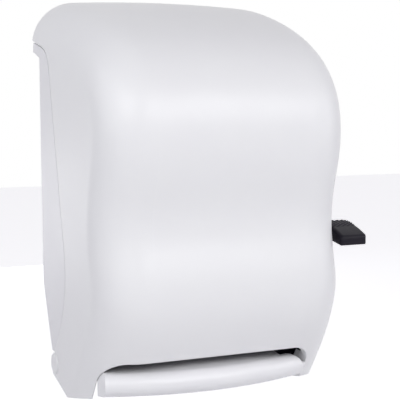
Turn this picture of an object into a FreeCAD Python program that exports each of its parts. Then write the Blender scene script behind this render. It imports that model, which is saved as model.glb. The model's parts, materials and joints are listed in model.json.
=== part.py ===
import FreeCAD, Part
import math
import os

os.makedirs("parts", exist_ok=True)

# Lever roll towel dispenser. X is to the right, the front faces -Y, Z is up and
# the wall is the plane Y = 0. The origin is the centre of the four wall holes.

# Outer form
body_height = 419.1
body_depth = 228.5
body_width = 284.0
wall = 2.8
side_draft = 10.5
front_blend = 50.0
top_crown = 6.0
front_crown = 0.4
skin_sections = 26
void_sections = 20
void_chords = 7
crown_steps = 30
form_reach = 190.0
overrun = 40.0

# Side profile, run on past the wall rim and the foot, as shares of depth and height
profile_shares = (
    (-0.2, 1.008),
    (0.0, 1.0),
    (0.219, 0.985),
    (0.438, 0.957),
    (0.656, 0.915),
    (0.832, 0.857),
    (0.95, 0.777),
    (1.0, 0.677),
    (0.991, 0.598),
    (0.95, 0.519),
    (0.917, 0.435),
    (0.943, 0.35),
    (0.96, 0.275),
    (0.926, 0.196),
    (0.847, 0.112),
    (0.7, 0.0),
    (0.56, -0.1),
    (0.4, -0.214),
)

# Seam between the cover and the chassis wings, as shares of depth and height
seam_shares = (
    (0.266, 0.103),
    (0.373, 0.19),
    (0.427, 0.295),
    (0.388, 0.441),
    (0.352, 0.539),
    (0.304, 0.662),
    (0.268, 0.761),
    (0.202, 0.857),
    (0.072, 0.882),
    (0.005, 0.893),
)
seam_gap = 1.1
cover_wall_gap = 1.0

# Cover hinge
hinge_back = 60.0
hinge_height = 28.0
pin_radius = 3.5
pin_fit = 0.06
boss_radius = 11.5
boss_proud = 1.2
boss_edge = 1.0
boss_reach = 5.8
lug_inside = 1.0
lug_thick = 4.0
lug_top = 58.0
leg_back = 98.0
foot_rise = 14.0
foot_run = 77.0
leg_slant_back = 52.0
leg_slant_height = 16.0

# Towel slot in the cover
slot_height = 51.5
slot_corner = 21.0
slot_return = 8.0
side_return = 20.0
side_return_gap = 2.0
slot_left = 125.0
slot_right = 98.5
return_wall = 2.4
rim_back = 180.0

# Paper path
paper_width = 203.2
paper_offset = 20.0
paper_side = 3.0
plate_thick = 3.0
plate_foot = 14.0
plate_nose_rise = 14.0
plate_step = 34.0
plate_margin = 9.0
plate_foot_width = 16.0
guard_right = 126.0
guard_foot = 16.0
guard_head = 62.0
core_radius = 19.0

# Back plate
back_width = 258.0
back_foot_width = 224.0
back_thick = 3.0
back_foot = 12.0
back_top_drop = 21.1
back_corner = 40.0
tray_back = 26.0
tray_front = 104.0
tray_foot = 41.0
wing_slant_back = 52.0
wing_slant_height = 113.0
ear_back = 5.0
ear_foot = 354.0
ear_top = 361.0
ear_front = 12.0
wall_hole_radius = 2.6
wall_hole_across = 140.0
wall_hole_up = 240.0
wall_boss_radius = 9.0
wall_boss_rise = 3.0
rib_thick = 2.4
rib_rise = 7.0
rib_across = 50.0

# Lever
lever_back = 60.0
lever_height = 197.0
lever_shaft_radius = 5.0
lever_side_gap = 6.0
arm_thick = 10.0
arm_depth = 17.0
lever_hub_radius = 13.0
paddle_front = 176.0
paddle_length = 42.0
paddle_width = 31.8
paddle_top = 161.5
paddle_thick = 10.5
paddle_edge = 2.0
paddle_corner = 10.0
paddle_rise = 12.0
paddle_crown = 2.2
paddle_root_thick = 15.0
paddle_rib_count = 8
paddle_rib_width = 2.4
paddle_rib_rise = 0.9
paddle_rib_pitch = 5.6
paddle_rib_run = 20.0
paddle_rib_depth = 16.0
lever_travel = 40.0

# Gears
gear_module = 2.0
sector_teeth = 62
pinion_teeth = 14
gear_slack = 0.35
gear_wide = 8.0
pinion_wide = 11.0
tooth_tip_share = 0.2
tooth_root_share = 0.56
tooth_depth_shares = (0.85, 1.1)
sector_lead = 8.0
sector_web = 6.0
sector_rim = 7.0
sector_hub_radius = 11.0
drive_angle = 61.2
gear_plate_gap = 4.0

# Rollers
drive_radius = 25.0
drive_core_radius = 21.0
drive_shaft_radius = 4.0
drive_band_width = 22.0
drive_band_count = 4
drive_hub_wall = 3.0
roller_end_gap = 2.0
bumper_wide = 10.0
bumper_inner = 36.0
bumper_outer = 54.0
spring_wire = 1.2
spring_pitch = 3.0
spring_turns = 3
pinch_radius = 11.0
pinch_shaft_radius = 3.0
pinch_band_width = 24.0
pinch_band_depth = 1.4
nip_gap = 0.3
bush_wall = 2.4
bush_flange = 1.5
shaft_fit = 0.06
seat_gap = 0.3

# Roll holder
roll_back = 112.0
roll_height = 285.0
arm_root_width = 62.0
arm_tip_radius = 21.0
arm_foot_width = 22.0
hub_flange_radius = 24.0
hub_flange_thick = 2.5
hub_plug_length = 11.0
hub_plug_tip_share = 0.86
hub_pin_radius = 4.0
knuckle_radius = 4.5
knuckle_back = 13.0
knuckle_pin_radius = 2.0

# Tear bar, guide and chute
bar_back = 160.0
bar_height = 66.0
bar_drop = 11.0
bar_thick = 1.2
bar_flange = 14.0
tooth_pitch = 5.0
tooth_depth = 2.5
chute_side_gap = 0.6
chute_right = 96.0
chute_wall = 2.5
chute_nose_back = 192.0
chute_nose_radius = 12.0
chute_nose_height = 28.5
nose_chords = 5
chute_bow = 22.0
chute_slope = 6.0
chute_end_round = 16.0
chute_flange_right = 71.0
chute_flange_back = 176.0
chute_open_back = 168.0
chute_over_turn = 2.0
chute_inner_back = 142.0
chute_floor_back = 112.0
chute_gap = 1.0
chute_boss_radius = 3.0
chute_boss_back = 178.5
guide_radius = 62.0
guide_back = 112.0
guide_height = 109.0
guide_wall = 2.0

# Lock
lock_back = 26.0
lock_core_radius = 6.0
lock_case_radius = 9.0
lock_drop = 20.0
lock_cam_length = 19.0
lock_cam_thick = 2.5
lock_cam_width = 9.0
lock_fit = 0.08
key_slot_length = 7.0
key_slot_width = 1.6
strike_width = 40.0
strike_thick = 2.0
strike_side_gap = 1.5
strike_front_gap = 3.0
strike_foot = 14.0

# Fasteners
screw_radius = 1.8
screw_head_radius = 3.6
screw_head_thick = 2.0

# Derived places
bottom = -body_height / 2
top = body_height / 2
hinge_z = bottom + hinge_height
lever_z = bottom + lever_height
roll_z = bottom + roll_height
pitch_sector = gear_module * sector_teeth / 2
pitch_pinion = gear_module * pinion_teeth / 2
gear_centres = pitch_sector + pitch_pinion + gear_slack
drive_y = -lever_back - gear_centres * math.cos(math.radians(drive_angle))
drive_z = lever_z - gear_centres * math.sin(math.radians(drive_angle))
pinch_y = drive_y + drive_radius + pinch_radius + nip_gap
inner_left = -paper_offset - paper_width / 2 - paper_side
inner_right = -paper_offset + paper_width / 2 + paper_side
gear_x = inner_right + plate_thick + gear_plate_gap
back_top = body_height - back_top_drop
lock_foot_z = bottom + back_top - lock_cam_thick
foot_slope = foot_rise / foot_run


def at(x, y, z):
    return FreeCAD.Vector(x, y, z)


def half_width(back):
    """Half the outer width at a distance from the wall."""
    return body_width / 2 - side_draft * back / body_depth


def box(x0, x1, y0, y1, z0, z1):
    return Part.makeBox(x1 - x0, y1 - y0, z1 - z0, at(x0, y0, z0))


def rod(radius, x0, x1, y, z):
    """A cylinder along X."""
    return Part.makeCylinder(radius, x1 - x0, at(x0, y, z), at(1, 0, 0))


def side_prism(points, x0, x1):
    """A closed outline of (y, z) points, pushed from x0 to x1."""
    corners = [at(x0, y, z) for y, z in points]
    face = Part.Face(Part.makePolygon(corners + corners[:1]))
    return face.extrude(at(x1 - x0, 0, 0))


def plan_prism(points, z0, z1):
    """A closed outline of (x, y) points, pushed from z0 to z1."""
    corners = [at(x, y, z0) for x, y in points]
    face = Part.Face(Part.makePolygon(corners + corners[:1]))
    return face.extrude(at(0, 0, z1 - z0))


def front_prism(points, y0, y1):
    """A closed outline of (x, z) points, pushed from y0 to y1."""
    corners = [at(x, y0, z) for x, z in points]
    face = Part.Face(Part.makePolygon(corners + corners[:1]))
    return face.extrude(at(0, y1 - y0, 0))


def save(name, shape):
    shape.exportStep("parts/" + name + ".step")


def profile_curve():
    """The front and top line of the body in the plane X = 0."""
    curve = Part.BSplineCurve()
    curve.interpolate([at(0, -d * body_depth, bottom + h * body_height) for d, h in profile_shares])
    return curve


def form_sections(inset, count):
    """Cross sections square to the profile, each with its place, inward normal, ends and arcs."""
    curve = profile_curve()
    taper = side_draft / body_depth
    blend = front_blend - inset
    for k in range(count):
        step = curve.length() * k / (count - 1)
        place = curve.parameterAtDistance(step, curve.FirstParameter)
        along = curve.tangent(place)[0]
        inward = at(0, -along.z, along.y)
        p = curve.value(place) + inward * inset
        half = half_width(-p.y) - inset
        slope = taper * inward.y
        root = math.hypot(1, slope)
        crown = half ** 2 / (2 * (top_crown * max(-inward.z, 0) ** 2 + front_crown))
        depth = blend
        for _ in range(crown_steps):
            centre = half + slope * depth - blend * root
            depth = crown - math.sqrt((crown - blend) ** 2 - centre ** 2)
        reach = math.hypot(centre, depth - crown)
        side = (centre + blend / root, depth - blend * slope / root)
        front = (centre * crown / reach, crown + (depth - crown) * crown / reach)
        lean = math.atan2(side[1] - depth + front[1] - depth, side[0] - centre + front[0] - centre)
        middle = (centre + blend * math.cos(lean), depth + blend * math.sin(lean))
        right = [p + at(x, 0, 0) + inward * d for x, d in (side, middle, front)]
        left = [p - at(x, 0, 0) + inward * d for x, d in (side, middle, front)]
        arcs = [Part.Arc(*right), Part.Arc(right[2], p, left[2]), Part.Arc(left[2], left[1], left[0])]
        rear = p + inward * form_reach
        wide = half + slope * form_reach
        tails = [rear + at(wide, 0, 0), rear - at(wide, 0, 0)]
        wire = Part.Wire([arc.toShape() for arc in arcs])
        if inset:
            chords = [arc.toShape().discretize(void_chords + 1) for arc in (arcs[0], arcs[2])]
            wire = Part.makePolygon(chords[0] + chords[1])
        yield wire, right[0], left[0], tails


def body_form(inset, back, foot):
    """The closed outer form, or the same form drawn in all round by inset, in plainer strips."""
    sections = list(form_sections(inset, void_sections if inset else skin_sections))
    skin = Part.makeLoft([wire for wire, _, _, _ in sections], False, inset > 0)
    faces = list(skin.Faces)
    head, heel = sections[0], sections[-1]
    for wire, right, left, tails in (head, heel):
        loop = [Part.makeLine(right, tails[0]), Part.makeLine(*tails), Part.makeLine(tails[1], left)]
        faces.append(Part.Face(Part.Wire(Part.__sortEdges__(wire.Edges + loop))))
    faces.append(Part.Face(Part.makePolygon([head[3][0], heel[3][0], heel[3][1], head[3][1], head[3][0]])))
    for side in (0, 1):
        ends = [section[1 + side] for section in sections]
        if inset:
            edges = [Part.makeLine(p, q) for p, q in zip(ends, ends[1:])]
        else:
            edges = [max(skin.Edges, key=lambda e: (1 - 2 * side) * e.CenterOfMass.x)]
        corners = [ends[0], head[3][side], heel[3][side], ends[-1]]
        loop = [Part.makeLine(p, q) for p, q in zip(corners, corners[1:])]
        faces.append(Part.Face(Part.Wire(Part.__sortEdges__(edges + loop))))
    shell = Part.makeShell(faces)
    shell.sewShape()
    solid = Part.makeSolid(shell)
    reach = body_width / 2 + overrun
    return solid.common(box(-reach, reach, -body_depth - overrun, back, foot, top + overrun)).Solids[0]


def seam_line(shift):
    """The seam in the plane X = 0, moved back and down by shift."""
    points = [at(0, shift - d * body_depth, bottom + h * body_height - shift) for d, h in seam_shares]
    line = Part.BSplineCurve()
    line.interpolate(points)
    return line


def side_region(line, corners):
    """All that lies between the seam and the corners, right through in X."""
    first = line.value(line.FirstParameter)
    last = line.value(line.LastParameter)
    path = [last] + [at(0, y, z) for y, z in corners] + [first]
    wire = Part.Wire([line.toShape()] + [Part.makeLine(a, b) for a, b in zip(path, path[1:])])
    face = Part.Face(wire)
    face.translate(at(-body_width / 2 - overrun, 0, 0))
    return face.extrude(at(body_width + 2 * overrun, 0, 0))


def cover_region():
    reach = body_depth + overrun
    corners = [
        (-cover_wall_gap, top + overrun),
        (-reach, top + overrun),
        (-reach, bottom + foot_slope * (reach - leg_back)),
        (-leg_back, bottom),
        (-leg_slant_back, bottom + leg_slant_height),
    ]
    return side_region(seam_line(0.0), corners)


def slot_prism(grow):
    """The towel slot's outline, pushed through the front and grown all round."""
    left = -slot_left - grow
    right = slot_right + grow
    head = bottom + slot_height + grow
    block = box(left, right, -body_depth - overrun, -leg_back, bottom - overrun, head)
    edges = [e for e in block.Edges if e.BoundBox.XLength + e.BoundBox.ZLength < wall and e.BoundBox.ZMin > bottom]
    return block.makeFillet(slot_corner + grow, edges)


def make_cover(outer, inner):
    """The moulded front shell with its slot, hinge bosses and lock case."""
    front = box(-body_width, body_width, -body_depth - overrun, -rim_back, bottom - overrun, top)
    rim = slot_prism(return_wall).common(front).cut(body_form(slot_return, overrun, bottom - overrun))
    beside = box(chute_right + side_return_gap, body_width, -body_depth - overrun, -leg_back, bottom - overrun, top)
    jamb = slot_prism(return_wall).common(beside).cut(body_form(side_return, overrun, bottom - overrun))
    case = Part.makeCylinder(lock_case_radius, overrun, at(0, -lock_back, lock_foot_z))
    void = inner.cut([rim, jamb, case])
    face = half_width(hinge_back)
    for side in (-1, 1):
        x0, x1 = sorted((side * (face - boss_reach), side * (face + overrun)))
        void = void.cut(rod(boss_radius, x0, x1, -hinge_back, hinge_z))
    shell = outer.common(cover_region()).cut(void).cut(slot_prism(0.0))
    for side in (-1, 1):
        disc = Part.makeCylinder(boss_radius, wall / 2 + boss_proud)
        rims = [e for e in disc.Edges if e.BoundBox.ZMin > wall / 2 and e.BoundBox.ZLength < seat_gap]
        disc = disc.makeChamfer(boss_edge, rims)
        disc.rotate(at(0, 0, 0), at(0, 1, 0), side * 90)
        disc.translate(at(side * (face - wall / 2), -hinge_back, hinge_z))
        x0, x1 = sorted((side * (face - boss_reach - overrun), side * (face - wall / 2)))
        shell = shell.fuse(disc).cut(rod(pin_radius + pin_fit, x0, x1, -hinge_back, hinge_z))
    bore = Part.makeCylinder(lock_core_radius + lock_fit, lock_drop, at(0, -lock_back, lock_foot_z))
    slot = box(-key_slot_length / 2, key_slot_length / 2, -lock_back - key_slot_width / 2,
               -lock_back + key_slot_width / 2, lock_foot_z, top + overrun)
    return shell.cut([bore, slot])


def make_hinge_pins():
    face = half_width(hinge_back)
    start = face - boss_reach - lug_inside - lug_thick - seat_gap
    pin = rod(pin_radius, start, face - wall / 2 - seat_gap, -hinge_back, hinge_z)
    return Part.makeCompound([pin, pin.mirror(at(0, 0, 0), at(1, 0, 0))])


def make_chassis():
    """The wall tray: back plate, flared sides, flush wings and hinge lugs."""
    hw_front = half_width(tray_front)
    hw_back = half_width(tray_back)
    bw = back_width / 2
    outside = [(-hw_front, -tray_front), (-hw_back, -tray_back), (-bw, 0), (bw, 0)]
    outside += [(hw_back, -tray_back), (hw_front, -tray_front)]
    inside = [(-hw_front + wall, -tray_front - wall), (-hw_back + wall, -tray_back - wall / 2)]
    inside += [(-bw + wall, -back_thick), (bw - wall, -back_thick)]
    inside += [(hw_back - wall, -tray_back - wall / 2), (hw_front - wall, -tray_front - wall)]
    low = bottom + tray_foot
    high = bottom + ear_top + overrun
    channel = plan_prism(outside, low, high).cut(plan_prism(inside, low, high))
    ear_z = bottom + ear_foot
    outline = [
        (-tray_front - overrun, low),
        (-wing_slant_back, low),
        (-tray_back, bottom + wing_slant_height),
        (-tray_back, ear_z),
        (-ear_back, bottom + ear_top),
        (-ear_front, high),
        (-tray_front - overrun, high),
    ]
    reach = body_width / 2 + overrun
    behind = [(overrun, bottom + seam_shares[-1][1] * body_height), (overrun, low - overrun)]
    behind.append((-leg_slant_back, low - overrun))
    wings = side_prism(outline, -reach, reach).common(side_region(seam_line(seam_gap), behind))
    returns = box(-reach, reach, -tray_back, 0, bottom + wing_slant_height, ear_z)
    body = channel.common(wings.fuse(returns))
    ear_plan = [(hw_back - wall, -tray_back - wall), (hw_back, -tray_back)]
    ear_plan += [(half_width(ear_back), -ear_back), (half_width(ear_back) - wall, -ear_back)]
    ear = plan_prism(ear_plan, low, high).common(wings)
    body = body.fuse([ear, ear.mirror(at(0, 0, 0), at(1, 0, 0))])
    head = bottom + back_top
    knee = bottom + wing_slant_height
    foot = back_foot_width / 2
    plate = [(-foot, low), (-foot, bottom + back_foot), (foot, bottom + back_foot), (foot, low), (bw, knee)]
    plate += [(bw, head - back_corner), (bw - back_corner, head)]
    plate += [(back_corner - bw, head), (-bw, head - back_corner), (-bw, knee)]
    body = body.fuse(front_prism(plate, -back_thick, 0))
    for side in (-1, 1):
        x = side * rib_across
        rib = box(x - rib_thick / 2, x + rib_thick / 2, -back_thick - rib_rise, -back_thick,
                  bottom + back_foot + rib_rise, bottom + back_top - rib_rise)
        face = half_width(hinge_back) - boss_reach - lug_inside
        x0, x1 = sorted((side * face, side * (face - lug_thick)))
        lug = box(x0, x1, -hinge_back - boss_radius, -hinge_back + boss_radius, hinge_z, bottom + lug_top)
        lug = lug.fuse(rod(boss_radius, x0, x1, -hinge_back, hinge_z))
        x2, x3 = sorted((side * (face - lug_thick), side * (half_width(hinge_back) - wall / 2)))
        lug_z = bottom + lug_top
        shelf = box(x2, x3, -hinge_back - boss_radius, -hinge_back + boss_radius, lug_z - lug_thick, lug_z)
        body = body.fuse([rib, lug, shelf.common(wings)])
        body = body.cut(rod(pin_radius + pin_fit, x0, x1, -hinge_back, hinge_z))
        shaft_hole = rod(lever_shaft_radius + bush_wall, 0, reach, -lever_back, lever_z)
        body = body.cut(shaft_hole)
    for x, z in wall_holes():
        boss = Part.makeCylinder(wall_boss_radius, back_thick + wall_boss_rise, at(x, 0, z), at(0, -1, 0))
        body = body.fuse(boss)
    for x, z in wall_holes():
        hole = Part.makeCylinder(wall_hole_radius, back_thick + wall_boss_rise, at(x, 0, z), at(0, -1, 0))
        body = body.cut(hole)
    return body.removeSplitter()


def wall_holes():
    for x in (-wall_hole_across / 2, wall_hole_across / 2):
        for z in (-wall_hole_up / 2, wall_hole_up / 2):
            yield x, z


def make_side_plate(side):
    """A mechanism side plate with its foot and shaft holes."""
    start = -back_thick - seat_gap
    rear = start - plate_thick
    low = bottom + plate_foot
    foot_z = bottom + wing_slant_height
    points = [(rear, foot_z - plate_margin), (-hinge_back, low + plate_step), (-chute_floor_back, low)]
    front = -chute_inner_back + chute_gap
    points += [(front, low + plate_nose_rise), (front, flange_height(chute_inner_back) + chute_gap)]
    points += [(-bar_back - bar_thick, bottom + bar_height - bar_drop)]
    points += [(-bar_back - bar_thick, bottom + bar_height + bar_flange)]
    head = plate_head(side)
    points += [(drive_y - drive_radius, drive_z + drive_radius)]
    if side > 0:
        points += [(-lever_back - drive_radius, head), (rear, head)]
        x0, x1 = inner_right, inner_right + plate_thick
        foot = box(x0 - plate_foot_width, x0 + plate_thick / 2, rear, start, foot_z, head - plate_margin)
        guard_x = x0 + plate_thick / 2
        foot = foot.fuse(box(guard_x, guard_right, front, front + plate_thick, bottom + guard_foot, bottom + guard_head))
    else:
        points += [(drive_y, head), (rear, head)]
        x0, x1 = inner_left - plate_thick, inner_left
        foot = box(x1 - plate_thick / 2, x1 + plate_foot_width, rear, start, foot_z, head - plate_margin)
    plate = side_prism(points, x0, x1).fuse(foot)
    for radius, y, z in shaft_places(side):
        plate = plate.cut(rod(radius + bush_wall, x0 - overrun, x1 + overrun, y, z))
    for x, z in foot_screws(side):
        plate = plate.cut(Part.makeCylinder(screw_radius + shaft_fit, overrun, at(x, 0, z), at(0, -1, 0)))
    return plate.removeSplitter()


def shaft_places(side):
    """Radius, y and z of each shaft that passes a side plate."""
    places = [(drive_shaft_radius, drive_y, drive_z), (pinch_shaft_radius, pinch_y, drive_z)]
    if side > 0:
        places.append((lever_shaft_radius, -lever_back, lever_z))
    return places


def plate_head(side):
    """The height of a side plate's top edge."""
    return lever_z + drive_radius if side > 0 else drive_z + drive_core_radius + plate_margin


def foot_screws(side):
    """Places of the screws that hold a side plate's foot."""
    x = inner_right - plate_foot_width / 2 if side > 0 else inner_left + plate_foot_width / 2
    margin = 2 * screw_head_radius
    return [(x, bottom + wing_slant_height + margin), (x, plate_head(side) - plate_margin - margin)]


def bush(radius, x0, x1, y, z, side):
    """A flanged sleeve between a shaft and the plate that it passes."""
    sleeve = rod(radius + bush_wall - shaft_fit / 2, x0, x1, y, z)
    f0, f1 = (x0 - bush_flange, x0) if side < 0 else (x1, x1 + bush_flange)
    sleeve = sleeve.fuse(rod(radius + 2 * bush_wall, f0, f1, y, z))
    return sleeve.cut(rod(radius + shaft_fit, x0 - overrun, x1 + overrun, y, z))


def make_bushes():
    bushes = []
    for radius, y, z in shaft_places(-1):
        bushes.append(bush(radius, inner_left - plate_thick, inner_left, y, z, -1))
    for radius, y, z in shaft_places(1):
        bushes.append(bush(radius, inner_right, inner_right + plate_thick, y, z, 1))
    skin = half_width(lever_back)
    bushes.append(bush(lever_shaft_radius, skin - wall, skin + 2 * seat_gap, -lever_back, lever_z, 1))
    return Part.makeCompound(bushes)


def roller_span():
    return inner_left + roller_end_gap, inner_right - roller_end_gap


def make_drive_core():
    """A hollow roller body with end discs."""
    x0, x1 = roller_span()
    core = rod(drive_core_radius, x0, x1, drive_y, drive_z)
    hollow = rod(drive_core_radius - drive_hub_wall, x0 + drive_hub_wall, x1 - drive_hub_wall, drive_y, drive_z)
    core = core.cut(hollow).fuse(rod(2 * drive_shaft_radius, x0, x1, drive_y, drive_z))
    return core.cut(rod(drive_shaft_radius, x0, x1, drive_y, drive_z))


def bands(count, width, outer, inner, y, z):
    """Evenly spaced rubber rings along a roller."""
    x0, x1 = roller_span()
    gap = (x1 - x0 - count * width) / count
    rings = []
    for k in range(count):
        start = x0 + gap / 2 + k * (width + gap)
        rings.append(rod(outer, start, start + width, y, z).cut(rod(inner, start, start + width, y, z)))
    return Part.makeCompound(rings)


def make_drive_shaft():
    return rod(drive_shaft_radius, inner_left - plate_thick - bush_flange - seat_gap, gear_x + pinion_wide + seat_gap,
               drive_y, drive_z)


def make_pinch_roller():
    x0, x1 = roller_span()
    body = rod(pinch_radius - pinch_band_depth, x0, x1, pinch_y, drive_z)
    return body.fuse(rod(pinch_shaft_radius, inner_left - plate_thick - bush_flange - seat_gap,
                         inner_right + plate_thick + bush_flange + seat_gap, pinch_y, drive_z))


def across(shape, x, y, z):
    """Turns a shape made about Z so that it lies about X, at its place."""
    shape.Placement = FreeCAD.Placement(at(x, y, z), FreeCAD.Rotation(at(1, 1, 1), 120))
    return shape


def toothed(radius, angles, width):
    """Straight-sided gear teeth on a pitch radius, centred at the angles."""
    pitch = math.pi * gear_module
    tip = radius + tooth_depth_shares[0] * gear_module
    root = radius - tooth_depth_shares[1] * gear_module
    tip_half = tooth_tip_share * pitch / 2
    root_half = tooth_root_share * pitch / 2
    base = root - gear_module / 2
    teeth = []
    for angle in angles:
        points = [(base, -root_half), (root, -root_half), (tip, -tip_half)]
        points += [(tip, tip_half), (root, root_half), (base, root_half)]
        tooth = plan_prism(points, 0, width)
        tooth.rotate(at(0, 0, 0), at(0, 0, 1), angle)
        teeth.append(tooth)
    return teeth


def pie(radius, start, end, width):
    """A slice of a disc about Z from one angle to another."""
    slice_ = Part.makeCylinder(radius, width, at(0, 0, 0), at(0, 0, 1), end - start)
    slice_.rotate(at(0, 0, 0), at(0, 0, 1), start)
    return slice_


def sector_angles():
    """The angles of the sector's teeth at rest, in the plane across X."""
    step = 360.0 / sector_teeth
    mesh = 180 + drive_angle
    count = int((lever_travel + sector_lead) / step)
    return [mesh + step * (1 - k) for k in range(count + 1)]


def make_gear_sector():
    """The toothed quadrant on the lever shaft, with a window between webs."""
    root = pitch_sector - tooth_depth_shares[1] * gear_module
    angles = sector_angles()
    half_step = 180.0 / sector_teeth
    start, end = min(angles) - half_step, max(angles) + half_step
    body = pie(root, start, end, gear_wide)
    rim = root - sector_rim
    margin = math.degrees(sector_web / rim)
    window = pie(rim, start + margin, end - margin, gear_wide)
    window = window.cut(Part.makeCylinder(sector_hub_radius + sector_web, gear_wide))
    body = body.cut(window).fuse(Part.makeCylinder(sector_hub_radius, gear_wide + sector_web))
    body = body.fuse(toothed(pitch_sector, angles, gear_wide))
    body = body.cut(Part.makeCylinder(lever_shaft_radius, gear_wide + sector_web))
    return across(body.removeSplitter(), gear_x, -lever_back, lever_z)


def make_pinion():
    """The driving pinion with the housing of its one-way clutch."""
    step = 360.0 / pinion_teeth
    root = pitch_pinion - tooth_depth_shares[1] * gear_module
    body = Part.makeCylinder(root, pinion_wide)
    body = body.fuse(toothed(pitch_pinion, [drive_angle + step * (k + 0.5) for k in range(pinion_teeth)], pinion_wide))
    body = body.cut(Part.makeCylinder(drive_shaft_radius, pinion_wide))
    return across(body.removeSplitter(), gear_x, drive_y, drive_z)


def arm_inside():
    return half_width(lever_back) + lever_side_gap


def make_lever_shaft():
    return rod(lever_shaft_radius, inner_right - seat_gap, arm_inside() + arm_thick, -lever_back, lever_z)


def make_lever():
    """The outside arm and its crowned, ribbed thumb paddle, one black moulding."""
    x0 = arm_inside()
    x1 = x0 + arm_thick
    top_z = bottom + paddle_top
    head = top_z + paddle_rise
    back = -paddle_front + paddle_length
    hub = rod(lever_hub_radius, x0, x1, -lever_back, lever_z)
    reach = arm_depth / 2
    arm = side_prism([(back, head), (-lever_back - reach, lever_z + reach), (-lever_back, lever_z + lever_hub_radius),
                      (-lever_back, lever_z - lever_hub_radius), (back, head - paddle_root_thick)], x0, x1)
    crown = at(x0, (back - paddle_front) / 2, (top_z + head) / 2 + paddle_crown)
    corners = [at(x0, back, head), at(x0, back, head - paddle_root_thick), at(x0, -paddle_front, top_z - paddle_thick),
               at(x0, -paddle_front, top_z)]
    edges = [Part.Arc(corners[3], crown, corners[0]).toShape()] + [Part.makeLine(p, q) for p, q in zip(corners, corners[1:])]
    slab = Part.Face(Part.Wire(edges)).extrude(at(paddle_width, 0, 0))
    corner = [e for e in slab.Edges if e.BoundBox.XMin > x0 + wall and e.BoundBox.YMin > back - wall and e.BoundBox.ZLength > wall]
    slab = slab.makeFillet(paddle_corner, corner)
    front = [e for e in slab.Edges if e.BoundBox.YMax < back - wall and e.BoundBox.YLength < wall]
    slab = slab.makeFillet(paddle_edge, front)
    lift = slab.copy()
    lift.translate(at(0, 0, paddle_rib_rise))
    ribs = []
    for k in range(paddle_rib_count):
        x = x0 - paddle_rib_depth + k * paddle_rib_pitch
        plan = [(x, back - paddle_rib_depth), (x + paddle_rib_width, back - paddle_rib_depth),
                (x + paddle_rib_run + paddle_rib_width, back), (x + paddle_rib_run, back)]
        ribs.append(plan_prism(plan, top_z - paddle_thick, head + overrun).common(lift))
    body = arm.fuse([hub, slab] + [rib for rib in ribs if rib.Volume > seat_gap])
    body = body.cut(rod(lever_shaft_radius, x0 - overrun, x1, -lever_back, lever_z))
    return body.removeSplitter()


def make_stop_bumper():
    """The rubber block on the side plate that the sector rests against."""
    angle = min(sector_angles()) - 180.0 / sector_teeth
    slack = math.degrees(seat_gap / pitch_sector) * 2
    wide = math.degrees(bumper_wide / pitch_sector)
    block = pie(bumper_outer, angle - slack - wide, angle - slack, gear_wide + gear_plate_gap)
    block = block.cut(Part.makeCylinder(bumper_inner, gear_wide + gear_plate_gap))
    return across(block, gear_x - gear_plate_gap, -lever_back, lever_z)


def make_return_spring():
    """A close-wound coil round the lever shaft beside the sector."""
    radius = lever_shaft_radius + seat_gap + spring_wire
    helix = Part.makeHelix(spring_pitch, spring_pitch * spring_turns, radius)
    turns = [math.radians(72 * k) for k in range(5)]
    corners = [at(radius + spring_wire / 2 * math.cos(a), 0, spring_wire / 2 * math.sin(a)) for a in turns]
    profile = Part.makePolygon(corners + corners[:1])
    coil = Part.Wire(helix).makePipeShell([profile], True, True)
    return across(coil, gear_x + gear_wide + sector_web + spring_wire, -lever_back, lever_z)


def make_roll_arm_left():
    """The fixed arm that carries the left core hub."""
    x0, x1 = inner_left - plate_thick, inner_left
    start = -back_thick - seat_gap
    half = arm_root_width / 2
    rear = start - plate_thick
    arm = side_prism([(rear, roll_z - half), (-roll_back, roll_z - arm_tip_radius),
                      (-roll_back, roll_z + arm_tip_radius), (rear, roll_z + half)], x0, x1)
    foot = box(x1 - plate_thick / 2, x1 + arm_foot_width, rear, start, roll_z - half, roll_z + half)
    tip = rod(arm_tip_radius, x0, x1, -roll_back, roll_z)
    pin = rod(hub_pin_radius, x1, x1 + hub_flange_thick + hub_plug_length / 2, -roll_back, roll_z)
    body = arm.fuse([foot, tip, pin])
    for x, z in arm_screws(-1):
        body = body.cut(Part.makeCylinder(screw_radius + shaft_fit, overrun, at(x, 0, z), at(0, -1, 0)))
    return body.removeSplitter()


def make_roll_arm_right():
    """The sprung arm, which swings outwards about its knuckle."""
    x0, x1 = inner_right, inner_right + plate_thick
    half = arm_root_width / 2
    arm = side_prism([(-knuckle_back, roll_z - half), (-roll_back, roll_z - arm_tip_radius),
                      (-roll_back, roll_z + arm_tip_radius), (-knuckle_back, roll_z + half)], x0, x1)
    tip = rod(arm_tip_radius, x0, x1, -roll_back, roll_z)
    pin = rod(hub_pin_radius, x0 - hub_flange_thick - hub_plug_length / 2, x0, -roll_back, roll_z)
    knuckle = Part.makeCylinder(knuckle_radius, arm_root_width, at((x0 + x1) / 2, -knuckle_back, roll_z - half))
    body = arm.fuse([tip, pin, knuckle])
    hole = Part.makeCylinder(knuckle_pin_radius + pin_fit, arm_root_width, at((x0 + x1) / 2, -knuckle_back, roll_z - half))
    return body.cut(hole).removeSplitter()


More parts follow.
